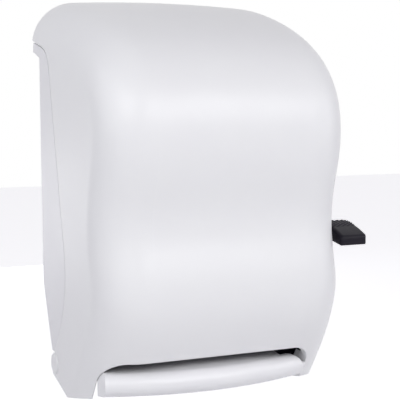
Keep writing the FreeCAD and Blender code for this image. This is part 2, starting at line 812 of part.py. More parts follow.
def make_arm_bracket():
    """The wall bracket and pin that the right arm's knuckle turns on."""
    x = inner_right + plate_thick / 2
    start = -back_thick - seat_gap
    half = arm_root_width / 2
    base = box(x - arm_foot_width, x + knuckle_radius, start - plate_thick, start, roll_z - half - plate_thick - seat_gap,
               roll_z + half + plate_thick + seat_gap)
    parts = [Part.makeCylinder(knuckle_pin_radius, arm_root_width + 2 * plate_thick, at(x, -knuckle_back, roll_z - half - plate_thick))]
    for z in (roll_z - half - plate_thick - seat_gap, roll_z + half + seat_gap):
        parts.append(box(x - knuckle_radius, x + knuckle_radius, -knuckle_back - knuckle_radius, start, z, z + plate_thick))
    body = base.fuse(parts)
    for sx, sz in arm_screws(1):
        body = body.cut(Part.makeCylinder(screw_radius + shaft_fit, overrun, at(sx, 0, sz), at(0, -1, 0)))
    return body.removeSplitter()


def arm_screws(side):
    """Places of the screws through a roll arm's foot."""
    if side < 0:
        x = inner_left + arm_foot_width / 2
    else:
        x = inner_right + plate_thick / 2 - arm_foot_width / 2 - knuckle_radius / 2
    half = arm_root_width / 2 - 2 * screw_head_radius
    return [(x, roll_z - half), (x, roll_z + half)]


def make_core_hub(side):
    """A flanged, tapered plug that enters the paper core."""
    face = inner_left + seat_gap if side < 0 else inner_right - seat_gap
    flange = Part.makeCylinder(hub_flange_radius, hub_flange_thick)
    plug = Part.makeCone(core_radius, core_radius * hub_plug_tip_share, hub_plug_length, at(0, 0, hub_flange_thick))
    hub = flange.fuse(plug)
    bore = Part.makeCylinder(hub_pin_radius + shaft_fit, hub_flange_thick + hub_plug_length / 2 + seat_gap)
    hub = hub.cut(bore)
    if side > 0:
        hub.rotate(at(0, 0, 0), at(1, 0, 0), 180)
    return across(hub, face, -roll_back, roll_z) if side < 0 else turned(hub, face)


def turned(shape, face):
    """Lays a shape that points down Z along -X, at the roll's centre."""
    moved = across(Part.makeCompound([shape]), face, -roll_back, roll_z)
    return moved.Solids[0]


def make_tear_bar():
    """The folded bar with its toothed edge and end tabs."""
    x0, x1 = inner_left + seat_gap, inner_right - seat_gap
    z = bottom + bar_height
    flange = box(x0, x1, -bar_back, -bar_back + bar_flange, z, z + bar_thick)
    count = int((x1 - x0) / tooth_pitch)
    pitch = (x1 - x0) / count
    points = [(x0, z), (x1, z), (x1, z - bar_drop)]
    for k in range(count):
        points += [(x1 - pitch * (k + 0.5), z - bar_drop - tooth_depth), (x1 - pitch * (k + 1), z - bar_drop)]
    blade = front_prism(points, -bar_back - bar_thick, -bar_back)
    blade = blade.fuse(box(x0, x1, -bar_back - bar_thick, -bar_back, z, z + bar_thick))
    tabs = []
    for a, b in ((x0, x0 + bar_thick), (x1 - bar_thick, x1)):
        tabs.append(box(a, b, -bar_back, -bar_back + bar_flange, z, z + bar_flange))
    bar = flange.fuse([blade] + tabs)
    for a in (x0, x1 - bar_thick):
        bar = bar.cut(rod(screw_radius + shaft_fit, a, a + bar_thick, -bar_back + bar_flange / 2, z + bar_flange / 2))
    return bar.removeSplitter()


def make_guide():
    """The curved floor that leads the towel from the nip to the chute."""
    x0, x1 = inner_left + seat_gap, inner_right - seat_gap
    z = bottom + guide_height
    ring = rod(guide_radius + guide_wall, x0, x1, -guide_back, z).cut(rod(guide_radius, x0, x1, -guide_back, z))
    ring = ring.common(box(x0, x1, -guide_back, -back_thick, bottom - overrun, z))
    low = z - guide_radius - guide_wall
    flat = box(x0, x1, -chute_inner_back + 2 * chute_gap, -guide_back, low, low + guide_wall)
    return ring.fuse(flat).removeSplitter()


def flange_height(back):
    """The height of the chute's upper face at a distance from the wall."""
    run = chute_nose_back - back
    return bottom + chute_nose_height + chute_nose_radius + run * math.tan(math.radians(chute_slope))


def lip_form(inset):
    """The chute's closed outer form, or the same form drawn in by inset."""
    left = slot_left - chute_side_gap
    mid = (chute_right - left) / 2
    chord = (left + chute_right) / 2
    radius = (chord ** 2 + chute_bow ** 2) / (2 * chute_bow)
    z = bottom + chute_nose_height
    r = chute_nose_radius - inset
    rise = math.radians(chute_slope)
    fall = math.atan(foot_slope)
    run = chute_nose_back - chute_floor_back + 2 * inset
    high = at(0, -r * math.sin(rise), r * math.cos(rise))
    low = at(0, -r * math.sin(fall), -r * math.cos(fall))
    nose = Part.Arc(low, at(0, -r, 0), high).toShape()
    if inset:
        nose = Part.makePolygon(nose.discretize(nose_chords + 1))
    tail = [high, at(0, run, high.z + (run - high.y) * math.tan(rise)), at(0, run, low.z - (run - low.y) * foot_slope), low]
    face = Part.Face(Part.Wire(nose.Edges + [Part.makeLine(p, q) for p, q in zip(tail, tail[1:])]))
    face.translate(at(mid, -chute_nose_back, z))
    axis = at(mid, -chute_nose_back - chute_nose_radius + radius, 0)
    turn = math.degrees(math.asin(chord / radius)) + chute_over_turn
    face.rotate(axis, at(0, 0, 1), -turn)
    lip = face.revolve(axis, at(0, 0, 1), 2 * turn)
    front = chute_nose_back + chute_nose_radius + chute_gap
    plan = box(inset - left, chute_right - inset, -front, -chute_floor_back + inset, bottom - overrun, z + overrun)
    end_x = chute_right - chute_end_round
    end_z = z + chute_nose_radius - chute_end_round
    corner = box(end_x, chute_right + wall, -front, 0, end_z, z + overrun)
    corner = corner.cut(Part.makeCylinder(chute_end_round - inset, front, at(end_x, -front, end_z), at(0, 1, 0)))
    return lip.common(plan).cut(corner).common(slot_prism(-chute_side_gap - inset))


def make_chute():
    """The bowed lip in the towel slot, rolled over at its nose, open at the back and carried by the cover."""
    z = bottom + chute_nose_height
    floor_z = z - chute_nose_radius + chute_wall
    lip = lip_form(0.0).cut(lip_form(chute_wall))
    lip = lip.cut(box(-slot_left, slot_right, -chute_inner_back, 0, bottom + plate_foot - chute_gap, z + overrun))
    open_end = [(chute_flange_right, -chute_flange_back), (slot_right, -chute_open_back), (slot_right, 0), (chute_flange_right, 0)]
    lip = lip.cut(plan_prism(open_end, floor_z, z + overrun))
    boss = rod(chute_boss_radius, chute_right - chute_wall / 2, slot_right - seat_gap, -chute_boss_back, z)
    return lip.fuse(boss).removeSplitter()


def make_lock_core():
    """The lock's plug with its key slot."""
    core = Part.makeCylinder(lock_core_radius, lock_drop - seat_gap, at(0, -lock_back, lock_foot_z))
    keyway = box(-key_slot_length / 2, key_slot_length / 2, -lock_back - key_slot_width / 2,
                 -lock_back + key_slot_width / 2, lock_foot_z + lock_drop / 2, top)
    return core.cut(keyway)


def make_lock_cam():
    """The flat cam under the lock, pointing at the wall when unlocked."""
    z = lock_foot_z - lock_cam_thick
    arm = box(-lock_cam_width / 2, lock_cam_width / 2, -lock_back, -lock_back + lock_cam_length, z, z + lock_cam_thick)
    disc = Part.makeCylinder(lock_cam_width / 2, lock_cam_thick, at(0, -lock_back, z))
    return arm.fuse(disc).removeSplitter()


def make_strike():
    """The bracket that the turned cam catches behind."""
    x0 = lock_case_radius + strike_side_gap
    x1 = x0 + lock_cam_width + strike_thick
    start = -back_thick - seat_gap
    z = lock_foot_z + strike_thick
    front = -lock_back - lock_cam_width / 2 - strike_front_gap
    bridge = box(x0, x1, front - strike_thick, start, z, z + strike_thick)
    hook = box(x0, x1, front - strike_thick, front, z - strike_thick - lock_cam_thick - strike_front_gap, z + strike_thick)
    foot = box(x0, x1 + strike_width / 2, start - strike_thick, start, z - strike_foot, z + strike_thick)
    body = bridge.fuse([hook, foot])
    for sx, sz in strike_screws():
        body = body.cut(Part.makeCylinder(screw_radius + shaft_fit, overrun, at(sx, 0, sz), at(0, -1, 0)))
    return body.removeSplitter()


def strike_screws():
    x0 = lock_case_radius + strike_side_gap
    x1 = x0 + lock_cam_width + strike_thick + strike_width / 2
    z = lock_foot_z + strike_thick - strike_foot / 2
    return [(x0 + 2 * screw_head_radius, z), (x1 - 2 * screw_head_radius, z)]


def hexagon(radius, x, y0, y1, z):
    """A six-sided rod along Y."""
    turns = [math.radians(60 * k) for k in range(6)]
    return front_prism([(x + radius * math.cos(a), z + radius * math.sin(a)) for a in turns], y0, y1)


def make_screws():
    """All hexagon head screws of the mechanism, heads on the parts they hold."""
    seat = -back_thick - seat_gap
    places = [(x, seat - plate_thick, z) for side in (-1, 1) for x, z in foot_screws(side) + arm_screws(side)]
    places += [(x, seat - strike_thick, z) for x, z in strike_screws()]
    screws = []
    for x, y, z in places:
        head = hexagon(screw_head_radius, x, y - screw_head_thick, y, z)
        screws.append(head.fuse(hexagon(screw_radius, x, y, seat + seat_gap / 2, z)).removeSplitter())
    return Part.makeCompound(screws)


def main():
    outer = body_form(0.0, 0.0, bottom)
    inner = body_form(wall, overrun, bottom - overrun)
    save("front_cover", make_cover(outer, inner))
    save("hinge_pins", make_hinge_pins())
    save("wall_chassis", make_chassis())
    save("side_plate_left", make_side_plate(-1))
    save("side_plate_right", make_side_plate(1))
    save("shaft_bushes", make_bushes())
    save("drive_core", make_drive_core())
    save("drive_bands", bands(drive_band_count, drive_band_width, drive_radius, drive_core_radius, drive_y, drive_z))
    save("drive_shaft", make_drive_shaft())
    save("clutch_pinion", make_pinion())
    save("pinch_roller", make_pinch_roller())
    save("pinch_bands", bands(drive_band_count, pinch_band_width, pinch_radius, pinch_radius - pinch_band_depth, pinch_y, drive_z))
    save("lever_arm", make_lever())
    save("lever_shaft", make_lever_shaft())
    save("gear_sector", make_gear_sector())
    save("stop_bumper", make_stop_bumper())
    save("return_spring", make_return_spring())
    save("roll_arm_left", make_roll_arm_left())
    save("roll_arm_right", make_roll_arm_right())
    save("arm_bracket", make_arm_bracket())
    save("core_hub_left", make_core_hub(-1))
    save("core_hub_right", make_core_hub(1))
    save("tear_bar", make_tear_bar())
    save("paper_guide", make_guide())
    save("towel_chute", make_chute())
    save("lock_core", make_lock_core())
    save("lock_cam", make_lock_cam())
    save("strike_bracket", make_strike())
    save("mechanism_screws", make_screws())


main()
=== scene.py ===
import json
import math

import bpy
from mathutils import Matrix, Vector


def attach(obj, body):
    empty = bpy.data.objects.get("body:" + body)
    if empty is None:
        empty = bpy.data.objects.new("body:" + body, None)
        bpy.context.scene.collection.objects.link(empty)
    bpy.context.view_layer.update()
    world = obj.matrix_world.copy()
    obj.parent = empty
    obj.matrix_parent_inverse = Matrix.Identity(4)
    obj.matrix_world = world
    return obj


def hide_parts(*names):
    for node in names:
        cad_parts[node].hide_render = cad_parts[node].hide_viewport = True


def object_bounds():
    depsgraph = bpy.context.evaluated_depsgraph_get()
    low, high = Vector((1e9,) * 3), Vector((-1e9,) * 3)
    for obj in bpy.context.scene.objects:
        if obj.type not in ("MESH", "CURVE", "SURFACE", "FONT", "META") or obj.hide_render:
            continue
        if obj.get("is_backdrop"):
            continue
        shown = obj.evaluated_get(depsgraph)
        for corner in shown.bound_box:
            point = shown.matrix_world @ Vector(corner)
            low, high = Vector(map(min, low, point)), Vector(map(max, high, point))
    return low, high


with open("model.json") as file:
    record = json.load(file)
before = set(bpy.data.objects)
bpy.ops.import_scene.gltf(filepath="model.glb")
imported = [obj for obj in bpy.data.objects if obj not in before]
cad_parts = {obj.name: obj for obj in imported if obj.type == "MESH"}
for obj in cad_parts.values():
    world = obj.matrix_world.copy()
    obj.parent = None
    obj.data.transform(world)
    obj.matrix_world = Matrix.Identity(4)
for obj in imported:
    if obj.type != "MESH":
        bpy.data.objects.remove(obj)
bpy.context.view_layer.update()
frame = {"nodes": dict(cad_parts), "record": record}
nodes = frame["nodes"]
print("frame loaded with", len(nodes), "parts")


# camera and picture

cameraSettings = {
    "place": (-0.45335, -1.14932, 0.08859),
    "turn": 24.01,      # degrees to the right of straight in
    "tilt": 4.87,       # degrees down
    "roll": -0.33,
    "lens": 96.0,
    "sensor": 36.0,
}


def addCamera(settings):
    bpy.ops.object.camera_add(location=settings["place"])
    camera = bpy.context.object
    camera.name = "photoCamera"
    turn = Matrix.Rotation(math.radians(-settings["turn"]), 4, "Z")
    tilt = Matrix.Rotation(math.radians(90 - settings["tilt"]), 4, "X")
    roll = Matrix.Rotation(math.radians(settings["roll"]), 4, "Z")
    camera.rotation_euler = (turn @ tilt @ roll).to_euler()
    camera.data.lens = settings["lens"]
    camera.data.sensor_width = settings["sensor"]
    bpy.context.scene.camera = camera


addCamera(cameraSettings)
bpy.context.scene.view_settings.view_transform = "Standard"
print("camera set")


# helpers for shader nodes

def setInputs(tree, node, inputs):
    # a number or colour is set on its socket, another node's output is linked to it
    for label, value in inputs.items():
        if isinstance(value, bpy.types.NodeSocket):
            tree.links.new(value, node.inputs[label])
        else:
            node.inputs[label].default_value = value


def addNode(tree, kind, inputs, **traits):
    node = tree.nodes.new(kind)
    for trait, value in traits.items():
        setattr(node, trait, value)
    setInputs(tree, node, inputs)
    return node


def calc(tree, operation, first, second):
    return addNode(tree, "ShaderNodeMath", {0: first, 1: second}, operation=operation).outputs[0]


# room and light

roomSettings = {
    "floorDrop": 0.30,      # below the lowest point
    "floorSize": 14.0,
    "floorColour": (0.88, 0.88, 0.89, 1),
    "floorRough": 0.9,
    "floorGlow": 0.74,      # only where the camera sees the floor
    "skyColour": (0.8, 0.74, 1, 1),
    "skyStrength": 0.13,
    "seenColour": (1, 1, 1, 1),
}

lampAim = (0, -0.12, 0)

# turn is to the right of straight ahead, rise is above the horizon, both in degrees
lampSettings = [
    {"name": "frontLeftBox", "turn": -45, "rise": 24.5, "reach": 3.0,
     "size": (1.8, 1.2), "power": 27, "colour": (1, 1, 0.985)},
    {"name": "frontRightBox", "turn": 15, "rise": 24.5, "reach": 3.0,
     "size": (2.4, 1.2), "power": 37, "colour": (0.99, 1, 0.985)},
    {"name": "leftBox", "turn": -85, "rise": 26, "reach": 1.0,
     "size": (0.9, 0.7), "power": 2.5, "colour": (0.97, 0.99, 1)},
    {"name": "rightBox", "turn": 65, "rise": 15, "reach": 3.0,
     "size": (1.4, 1.6), "power": 14, "colour": (0.985, 0.98, 1)},
    {"name": "backBox", "turn": 180, "rise": -8, "reach": 3.0,
     "size": (2.4, 0.7), "power": 14, "colour": (1, 1, 1)},
]


def addSeenMask(tree):
    # 1 where the camera sees the room, straight, in a gloss or through a clear part
    paths = addNode(tree, "ShaderNodeLightPath", {})
    mask = paths.outputs["Is Camera Ray"]
    for label in ("Is Glossy Ray", "Is Transmission Ray"):
        mask = calc(tree, "MAXIMUM", mask, paths.outputs[label])
    return mask


def addSky(settings):
    world = bpy.data.worlds.new("studioSky")
    bpy.context.scene.world = world
    world.use_nodes = True
    tree = world.node_tree
    tree.nodes.clear()
    soft = addNode(tree, "ShaderNodeBackground", {
        "Color": settings["skyColour"], "Strength": settings["skyStrength"]})
    seen = addNode(tree, "ShaderNodeBackground", {"Color": settings["seenColour"], "Strength": 1})
    mix = addNode(tree, "ShaderNodeMixShader", {
        0: addSeenMask(tree), 1: soft.outputs[0], 2: seen.outputs[0]})
    addNode(tree, "ShaderNodeOutputWorld", {"Surface": mix.outputs[0]})


def addFloor(settings):
    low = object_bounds()[0][2] - settings["floorDrop"]
    bpy.ops.mesh.primitive_plane_add(size=settings["floorSize"], location=(0, 0, low))
    floor = bpy.context.object
    floor.name = "paleFloor"
    material = bpy.data.materials.new("paleFloorPaint")
    material.use_nodes = True
    tree = material.node_tree
    paint = tree.nodes["Principled BSDF"]
    setInputs(tree, paint, {
        "Base Color": settings["floorColour"], "Roughness": settings["floorRough"]})
    strength = calc(tree, "MULTIPLY", addSeenMask(tree), settings["floorGlow"])
    glow = addNode(tree, "ShaderNodeEmission", {
        "Color": settings["seenColour"], "Strength": strength})
    both = addNode(tree, "ShaderNodeAddShader", {0: paint.outputs[0], 1: glow.outputs[0]})
    setInputs(tree, tree.nodes["Material Output"], {"Surface": both.outputs[0]})
    floor.data.materials.append(material)
    floor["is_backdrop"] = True


def addLamp(settings):
    turn, rise = math.radians(settings["turn"]), math.radians(settings["rise"])
    way = Vector((
        math.sin(turn) * math.cos(rise), -math.cos(turn) * math.cos(rise), math.sin(rise)))
    bpy.ops.object.light_add(type="AREA", location=Vector(lampAim) + way * settings["reach"])
    lamp = bpy.context.object
    lamp.name = settings["name"]
    lamp.data.shape = "RECTANGLE"
    lamp.data.size, lamp.data.size_y = settings["size"]
    lamp.data.energy = settings["power"]
    lamp.data.color = settings["colour"]
    lamp.rotation_euler = way.to_track_quat("Z", "Y").to_euler()


addSky(roomSettings)
addFloor(roomSettings)
for settings in lampSettings:
    addLamp(settings)
print("room and", len(lampSettings), "lamps set")


# shared surface effects

def newGroup(name, inputs, outputs):
    # all its inputs and outputs are plain numbers, and each material gives its own inputs
    group = bpy.data.node_groups.new(name, "ShaderNodeTree")
    for labels, side in ((inputs, "INPUT"), (outputs, "OUTPUT")):
        for label in labels:
            group.interface.new_socket(name=label, in_out=side, socket_type="NodeSocketFloat")
    return group, group.nodes.new("NodeGroupInput"), group.nodes.new("NodeGroupOutput")


def noise(group, scale, detail, roughness):
    spot = addNode(group, "ShaderNodeTexCoord", {})
    pattern = addNode(group, "ShaderNodeTexNoise", {
        "Vector": spot.outputs["Object"], "Scale": scale,
        "Detail": detail, "Roughness": roughness})
    return pattern.outputs["Fac"]


mouldSkinSettings = {
    "waveDetail": 2, "waveRoughness": 0.5, "grainDetail": 3, "grainRoughness": 0.6}


def makeMouldSkin(look):
    # slow waviness of a moulded face, plus a fine grain, as one height
    group, start, end = newGroup(
        "mouldSkin", ["Wave Scale", "Wave", "Grain Scale", "Grain"], ["Height", "Cloud"])
    wave = noise(
        group, start.outputs["Wave Scale"], look["waveDetail"], look["waveRoughness"])
    grain = noise(
        group, start.outputs["Grain Scale"], look["grainDetail"], look["grainRoughness"])
    waveHeight = calc(group, "MULTIPLY", wave, start.outputs["Wave"])
    grainHeight = calc(group, "MULTIPLY", grain, start.outputs["Grain"])
    height = calc(group, "ADD", waveHeight, grainHeight)
    setInputs(group, end, {"Height": height, "Cloud": wave})
    return group


edgeMaskSettings = {
    "samples": 4, "radius": 0.0009,
    "spotScale": 160, "spotDetail": 4, "spotRoughness": 0.65}


def makeEdgeMask(look):
    # up to 1 on sharp edges, where a rounded normal leaves the true one, broken by spots; the
    # tint it carries is edge wear on most finishes and a painted highlight on the black lever
    group, start, end = newGroup("edgeWearAndHighlightMask", ["Strength"], ["Edge"])
    bevel = addNode(
        group, "ShaderNodeBevel", {"Radius": look["radius"]}, samples=look["samples"])
    shape = addNode(group, "ShaderNodeNewGeometry", {})
    dot = addNode(group, "ShaderNodeVectorMath", {
        0: bevel.outputs["Normal"], 1: shape.outputs["Normal"]}, operation="DOT_PRODUCT")
    away = calc(group, "SUBTRACT", 1, dot.outputs["Value"])
    spots = noise(group, look["spotScale"], look["spotDetail"], look["spotRoughness"])
    edge = calc(group, "MULTIPLY", away, start.outputs["Strength"])
    broken = calc(group, "MULTIPLY", edge, spots)
    setInputs(group, end, {"Edge": calc(group, "MINIMUM", broken, 1)})
    return group


dustFilmSettings = {"patchScale": 45, "patchDetail": 5, "patchRoughness": 0.7}


def makeDustFilm(look):
    # light dust in patches, on faces that look up
    group, start, end = newGroup("dustFilm", ["Amount"], ["Dust"])
    shape = addNode(group, "ShaderNodeNewGeometry", {})
    split = addNode(group, "ShaderNodeSeparateXYZ", {0: shape.outputs["Normal"]})
    up = calc(group, "MAXIMUM", split.outputs["Z"], 0)
    patches = noise(group, look["patchScale"], look["patchDetail"], look["patchRoughness"])
    film = calc(group, "MULTIPLY", up, patches)
    setInputs(group, end, {"Dust": calc(group, "MULTIPLY", film, start.outputs["Amount"])})
    return group


mouldSkin = makeMouldSkin(mouldSkinSettings)
edgeWearAndHighlightMask = makeEdgeMask(edgeMaskSettings)
dustFilm = makeDustFilm(dustFilmSettings)
print("surface effects made")


# finishes, one for each slot of the record

mouldingSettings = {
    "white_cover": {
        "colour": (0.862, 0.864, 0.874), "shade": (0.845, 0.843, 0.862),
        "edge": (0.9, 0.9, 0.91), "edgeStrength": 2, "round": 0.0012,
        "dust": (0.74, 0.73, 0.72), "dustAmount": 0.02,
        "rough": 0.34, "roughSpread": 0.06, "shine": 0.36, "coat": 0.08, "coatRough": 0.3,
        "waveScale": 22, "wave": 0.12, "grainScale": 700, "grain": 0.02, "bump": 0.05,
    },
    "white_chassis": {
        "colour": (0.83, 0.826, 0.85), "shade": (0.8, 0.795, 0.825),
        "edge": (0.88, 0.88, 0.89), "edgeStrength": 2, "round": 0.0008,
        "dust": (0.72, 0.71, 0.7), "dustAmount": 0.06,
        "rough": 0.4, "roughSpread": 0.08, "shine": 0.5, "coat": 0.2, "coatRough": 0.34,
        "waveScale": 26, "wave": 0.4, "grainScale": 600, "grain": 0.05, "bump": 0.06,
    },
    "lip_moulding": {
        "colour": (0.85, 0.85, 0.866), "shade": (0.825, 0.822, 0.85),
        "edge": (0.89, 0.89, 0.9), "edgeStrength": 2, "round": 0.0009,
        "dust": (0.72, 0.71, 0.7), "dustAmount": 0.02,
        "rough": 0.36, "roughSpread": 0.07, "shine": 0.5, "coat": 0.3, "coatRough": 0.3,
        "waveScale": 30, "wave": 0.3, "grainScale": 700, "grain": 0.03, "bump": 0.05,
    },
    "lever_black": {
        "colour": (0.009, 0.007, 0.014), "shade": (0.005, 0.004, 0.009),
        # this lighter edge tint, made strong here, is a painted highlight along the lever's edges
        "edge": (0.13, 0.12, 0.15), "edgeStrength": 12, "round": 0.0008,
        "dust": (0.06, 0.06, 0.07), "dustAmount": 0.02,
        "rough": 0.44, "roughSpread": 0.12, "shine": 0.16, "coat": 0.0, "coatRough": 0.4,
        "waveScale": 60, "wave": 0.2, "grainScale": 1400, "grain": 0.25, "bump": 0.12,
    },
    "grey_moulding": {
        "colour": (0.3, 0.3, 0.32), "shade": (0.24, 0.24, 0.26),
        "edge": (0.4, 0.4, 0.42), "edgeStrength": 4, "round": 0.0006,
        "dust": (0.5, 0.49, 0.47), "dustAmount": 0.25,
        "rough": 0.5, "roughSpread": 0.12, "shine": 0.5, "coat": 0.0, "coatRough": 0.2,
        "waveScale": 40, "wave": 0.2, "grainScale": 1200, "grain": 0.4, "bump": 0.15,
    },
    "acetal": {
        "colour": (0.8, 0.79, 0.74), "shade": (0.72, 0.71, 0.66),
        "edge": (0.86, 0.85, 0.8), "edgeStrength": 3, "round": 0.0004,
        "dust": (0.55, 0.53, 0.5), "dustAmount": 0.15,
        "rough": 0.4, "roughSpread": 0.1, "shine": 0.5, "coat": 0.0, "coatRough": 0.2,
        "waveScale": 50, "wave": 0.2, "grainScale": 1600, "grain": 0.15, "bump": 0.08,
    },
    "rubber": {
        "colour": (0.035, 0.035, 0.036), "shade": (0.022, 0.022, 0.023),
        "edge": (0.12, 0.12, 0.12), "edgeStrength": 6, "round": 0.0004,
        "dust": (0.3, 0.29, 0.28), "dustAmount": 0.3,
        "rough": 0.72, "roughSpread": 0.12, "shine": 0.5, "coat": 0.0, "coatRough": 0.5,
        "waveScale": 80, "wave": 0.2, "grainScale": 2200, "grain": 0.7, "bump": 0.25,
    },
}

mouldingDetail = {"roundSamples": 6, "bumpDepth": 0.001}


def newMaterial(name):
    material = bpy.data.materials.new(name)
    material.use_nodes = True
    return material, material.node_tree, material.node_tree.nodes["Principled BSDF"]


def addTint(tree, colour, tint, mask):
    # the colour goes over to the tint where the mask is 1
    mix = addNode(
        tree, "ShaderNodeMix", {"A": colour, "B": (*tint, 1), "Factor": mask}, data_type="RGBA")
    return mix.outputs["Result"]


def addRoughness(tree, mask, low, high):
    rough = addNode(tree, "ShaderNodeMapRange", {"Value": mask, "To Min": low, "To Max": high})
    return rough.outputs["Result"]


def makeMoulding(name, look, detail):
    # a moulded plastic or rubber: clouded colour, worn edges (a painted highlight on the black
    # lever), dust and a rounded edge
    material, tree, shader = newMaterial(name)
    skin = addNode(tree, "ShaderNodeGroup", {
        "Wave Scale": look["waveScale"], "Wave": look["wave"],
        "Grain Scale": look["grainScale"], "Grain": look["grain"]}, node_tree=mouldSkin)
    edges = addNode(
        tree, "ShaderNodeGroup", {"Strength": look["edgeStrength"]}, node_tree=edgeWearAndHighlightMask)
    film = addNode(tree, "ShaderNodeGroup", {"Amount": look["dustAmount"]}, node_tree=dustFilm)
    cloud = skin.outputs["Cloud"]
    colour = addTint(tree, (*look["colour"], 1), look["shade"], cloud)
    # lighter edges: wear on most mouldings, a painted highlight on the black lever
    colour = addTint(tree, colour, look["edge"], edges.outputs["Edge"])
    colour = addTint(tree, colour, look["dust"], film.outputs["Dust"])
    spread = look["roughSpread"] / 2
    rounded = addNode(
        tree, "ShaderNodeBevel", {"Radius": look["round"]}, samples=detail["roundSamples"])
    bump = addNode(tree, "ShaderNodeBump", {
        "Strength": look["bump"], "Distance": detail["bumpDepth"],
        "Height": skin.outputs["Height"], "Normal": rounded.outputs["Normal"]})
    setInputs(tree, shader, {
        "Base Color": colour,
        "Roughness": addRoughness(tree, cloud, look["rough"] - spread, look["rough"] + spread),
        "Normal": bump.outputs["Normal"],
        "Specular IOR Level": look["shine"],
        "Coat Weight": look["coat"],
        "Coat Roughness": look["coatRough"],
    })
    return material


metalSettings = {
    "steel": {
        "colour": (0.56, 0.56, 0.58), "shade": (0.42, 0.42, 0.44),
        "rough": 0.28, "stretch": (1, 1, 1), "scale": 240,
    },
    "spring_steel": {
        "colour": (0.4, 0.4, 0.42), "shade": (0.28, 0.28, 0.3),
        "rough": 0.3, "stretch": (1, 1, 1), "scale": 400,
    },
    "zinc_plate": {
        "colour": (0.62, 0.63, 0.63), "shade": (0.48, 0.5, 0.52),
        "rough": 0.36, "stretch": (1, 1, 1), "scale": 90,
    },
    "stainless": {
        "colour": (0.62, 0.62, 0.63), "shade": (0.5, 0.5, 0.51),
        "rough": 0.26, "stretch": (0.03, 1, 1), "scale": 900,
    },
    "lock_brass": {
        "colour": (0.68, 0.5, 0.24), "shade": (0.5, 0.36, 0.16),
        "rough": 0.3, "stretch": (1, 1, 1), "scale": 260,
    },
}

metalDetail = {
    "streakDetail": 4, "edgeStrength": 5, "edge": (0.8, 0.8, 0.8),
    "smoother": 0.08, "rougher": 0.1, "bump": 0.06, "bumpDepth": 0.0005,
}


def makeMetal(name, look, detail):
    # brushed or plated metal: cloudy or stretched streaks and worn edges
    material, tree, shader = newMaterial(name)
    spot = addNode(tree, "ShaderNodeTexCoord", {})
    stretch = addNode(tree, "ShaderNodeMapping", {
        "Vector": spot.outputs["Object"], "Scale": look["stretch"]})
    streaks = addNode(tree, "ShaderNodeTexNoise", {
        "Vector": stretch.outputs["Vector"], "Scale": look["scale"],
        "Detail": detail["streakDetail"]}).outputs["Fac"]
    edges = addNode(
        tree, "ShaderNodeGroup", {"Strength": detail["edgeStrength"]}, node_tree=edgeWearAndHighlightMask)
    colour = addTint(tree, (*look["colour"], 1), look["shade"], streaks)
    colour = addTint(tree, colour, detail["edge"], edges.outputs["Edge"])
    smoothest, roughest = look["rough"] - detail["smoother"], look["rough"] + detail["rougher"]
    bump = addNode(tree, "ShaderNodeBump", {
        "Strength": detail["bump"], "Distance": detail["bumpDepth"], "Height": streaks})
    setInputs(tree, shader, {
        "Metallic": 1,
        "Base Color": colour,
        "Roughness": addRoughness(tree, streaks, smoothest, roughest),
        "Normal": bump.outputs["Normal"],
    })
    return material


finishes = {}
for slot, look in mouldingSettings.items():
    finishes[slot] = makeMoulding(slot, look, mouldingDetail)
for slot, look in metalSettings.items():
    finishes[slot] = makeMetal(slot, look, metalDetail)
print(len(finishes), "finishes made")

for part in frame["record"]["subparts"]:
    node = nodes[part["node"]]
    node.data.materials.clear()
    node.data.materials.append(finishes[part["material_slot"]])
print("finishes laid on", len(nodes), "parts")


# modelling helpers

def startClean():
    if bpy.context.object and bpy.context.object.mode != "OBJECT":
        bpy.ops.object.mode_set(mode="OBJECT")
    bpy.ops.object.select_all(action="DESELECT")


def roundEdges(piece, width, steps, sharpAngle):
    bevel = piece.modifiers.new("roundedEdge", "BEVEL")
    bevel.width = width
    bevel.segments = steps
    bevel.limit_method = "ANGLE"
    bevel.angle_limit = math.radians(sharpAngle)
    bpy.context.view_layer.objects.active = piece
    bpy.ops.object.modifier_apply(modifier="roundedEdge")


def joinPieces(name, pieces, smoothAngle):
    startClean()
    for piece in pieces:
        piece.select_set(True)
    bpy.context.view_layer.objects.active = pieces[0]
    bpy.ops.object.join()
    joined = bpy.context.object
    joined.name = name
    bpy.ops.object.mode_set(mode="EDIT")
    bpy.ops.mesh.select_all(action="SELECT")
    bpy.ops.mesh.normals_make_consistent(inside=False)
    bpy.ops.object.mode_set(mode="OBJECT")
    bpy.ops.object.shade_smooth_by_angle(angle=math.radians(smoothAngle))
    return joined


# thumb lever, in place of the plainer solid

leverSettings = {
    "inside": 0.145243,     # face towards the cover
    "wide": 0.0318,
    "back": -0.134,
    "front": -0.176,
    "frontTop": -0.04805,
    "backTop": -0.03605,
    "frontThick": 0.0105,
    "rootThick": 0.015,
    "crown": 0.0022,
    "edge": 0.0016,
    "frontEdge": 0.0024,
    "innerEdge": 0.0042,
    "innerCorner": 0.0032,
    "outerCorner": 0.0022,
    "backCorner": 0.0075,
    "ribRise": 0.0017,
    "ribPitch": 0.0063,
    "ribWide": 0.0038,
    "ribLean": 1.6,         # sideways run for each step back
    "ribBlunt": 0.7,        # below 1 the crest is flatter
    "ribReach": 0.021,      # from the back edge forwards
    "ribFrontFade": 0.004,
    "ribSideFade": 0.002,
    "steps": (64, 84),      # across and along the paddle
    "pivot": (-0.060, -0.01255),
    "armThick": 0.010,
    "armSink": 0.007,       # how far the arm runs into the paddle
    "armShoulder": 0.65,    # of the hub's radius, ahead of and above the pivot
    "armDrop": 0.0022,      # from the paddle's top to the arm's, before its rise
    "armRise": 0.0015,
    "armDip": 0.001,        # of its top inside the paddle
    "armFoot": 0.0006,      # above the paddle's underside at its back
    "armFootInside": 0.0012,
    "armEdge": 0.0012,
    "armEdgeSteps": 3,
    "hubRadius": 0.013,
    "hubSides": 72,
    "hubEdge": 0.0004,
    "hubEdgeSteps": 2,
    "recess": 0.0009,
    "recessRim": 0.004,
    "sharpAngle": 30,       # edges over it are rounded
    "smoothAngle": 35,      # edges under it are shaded smooth
}


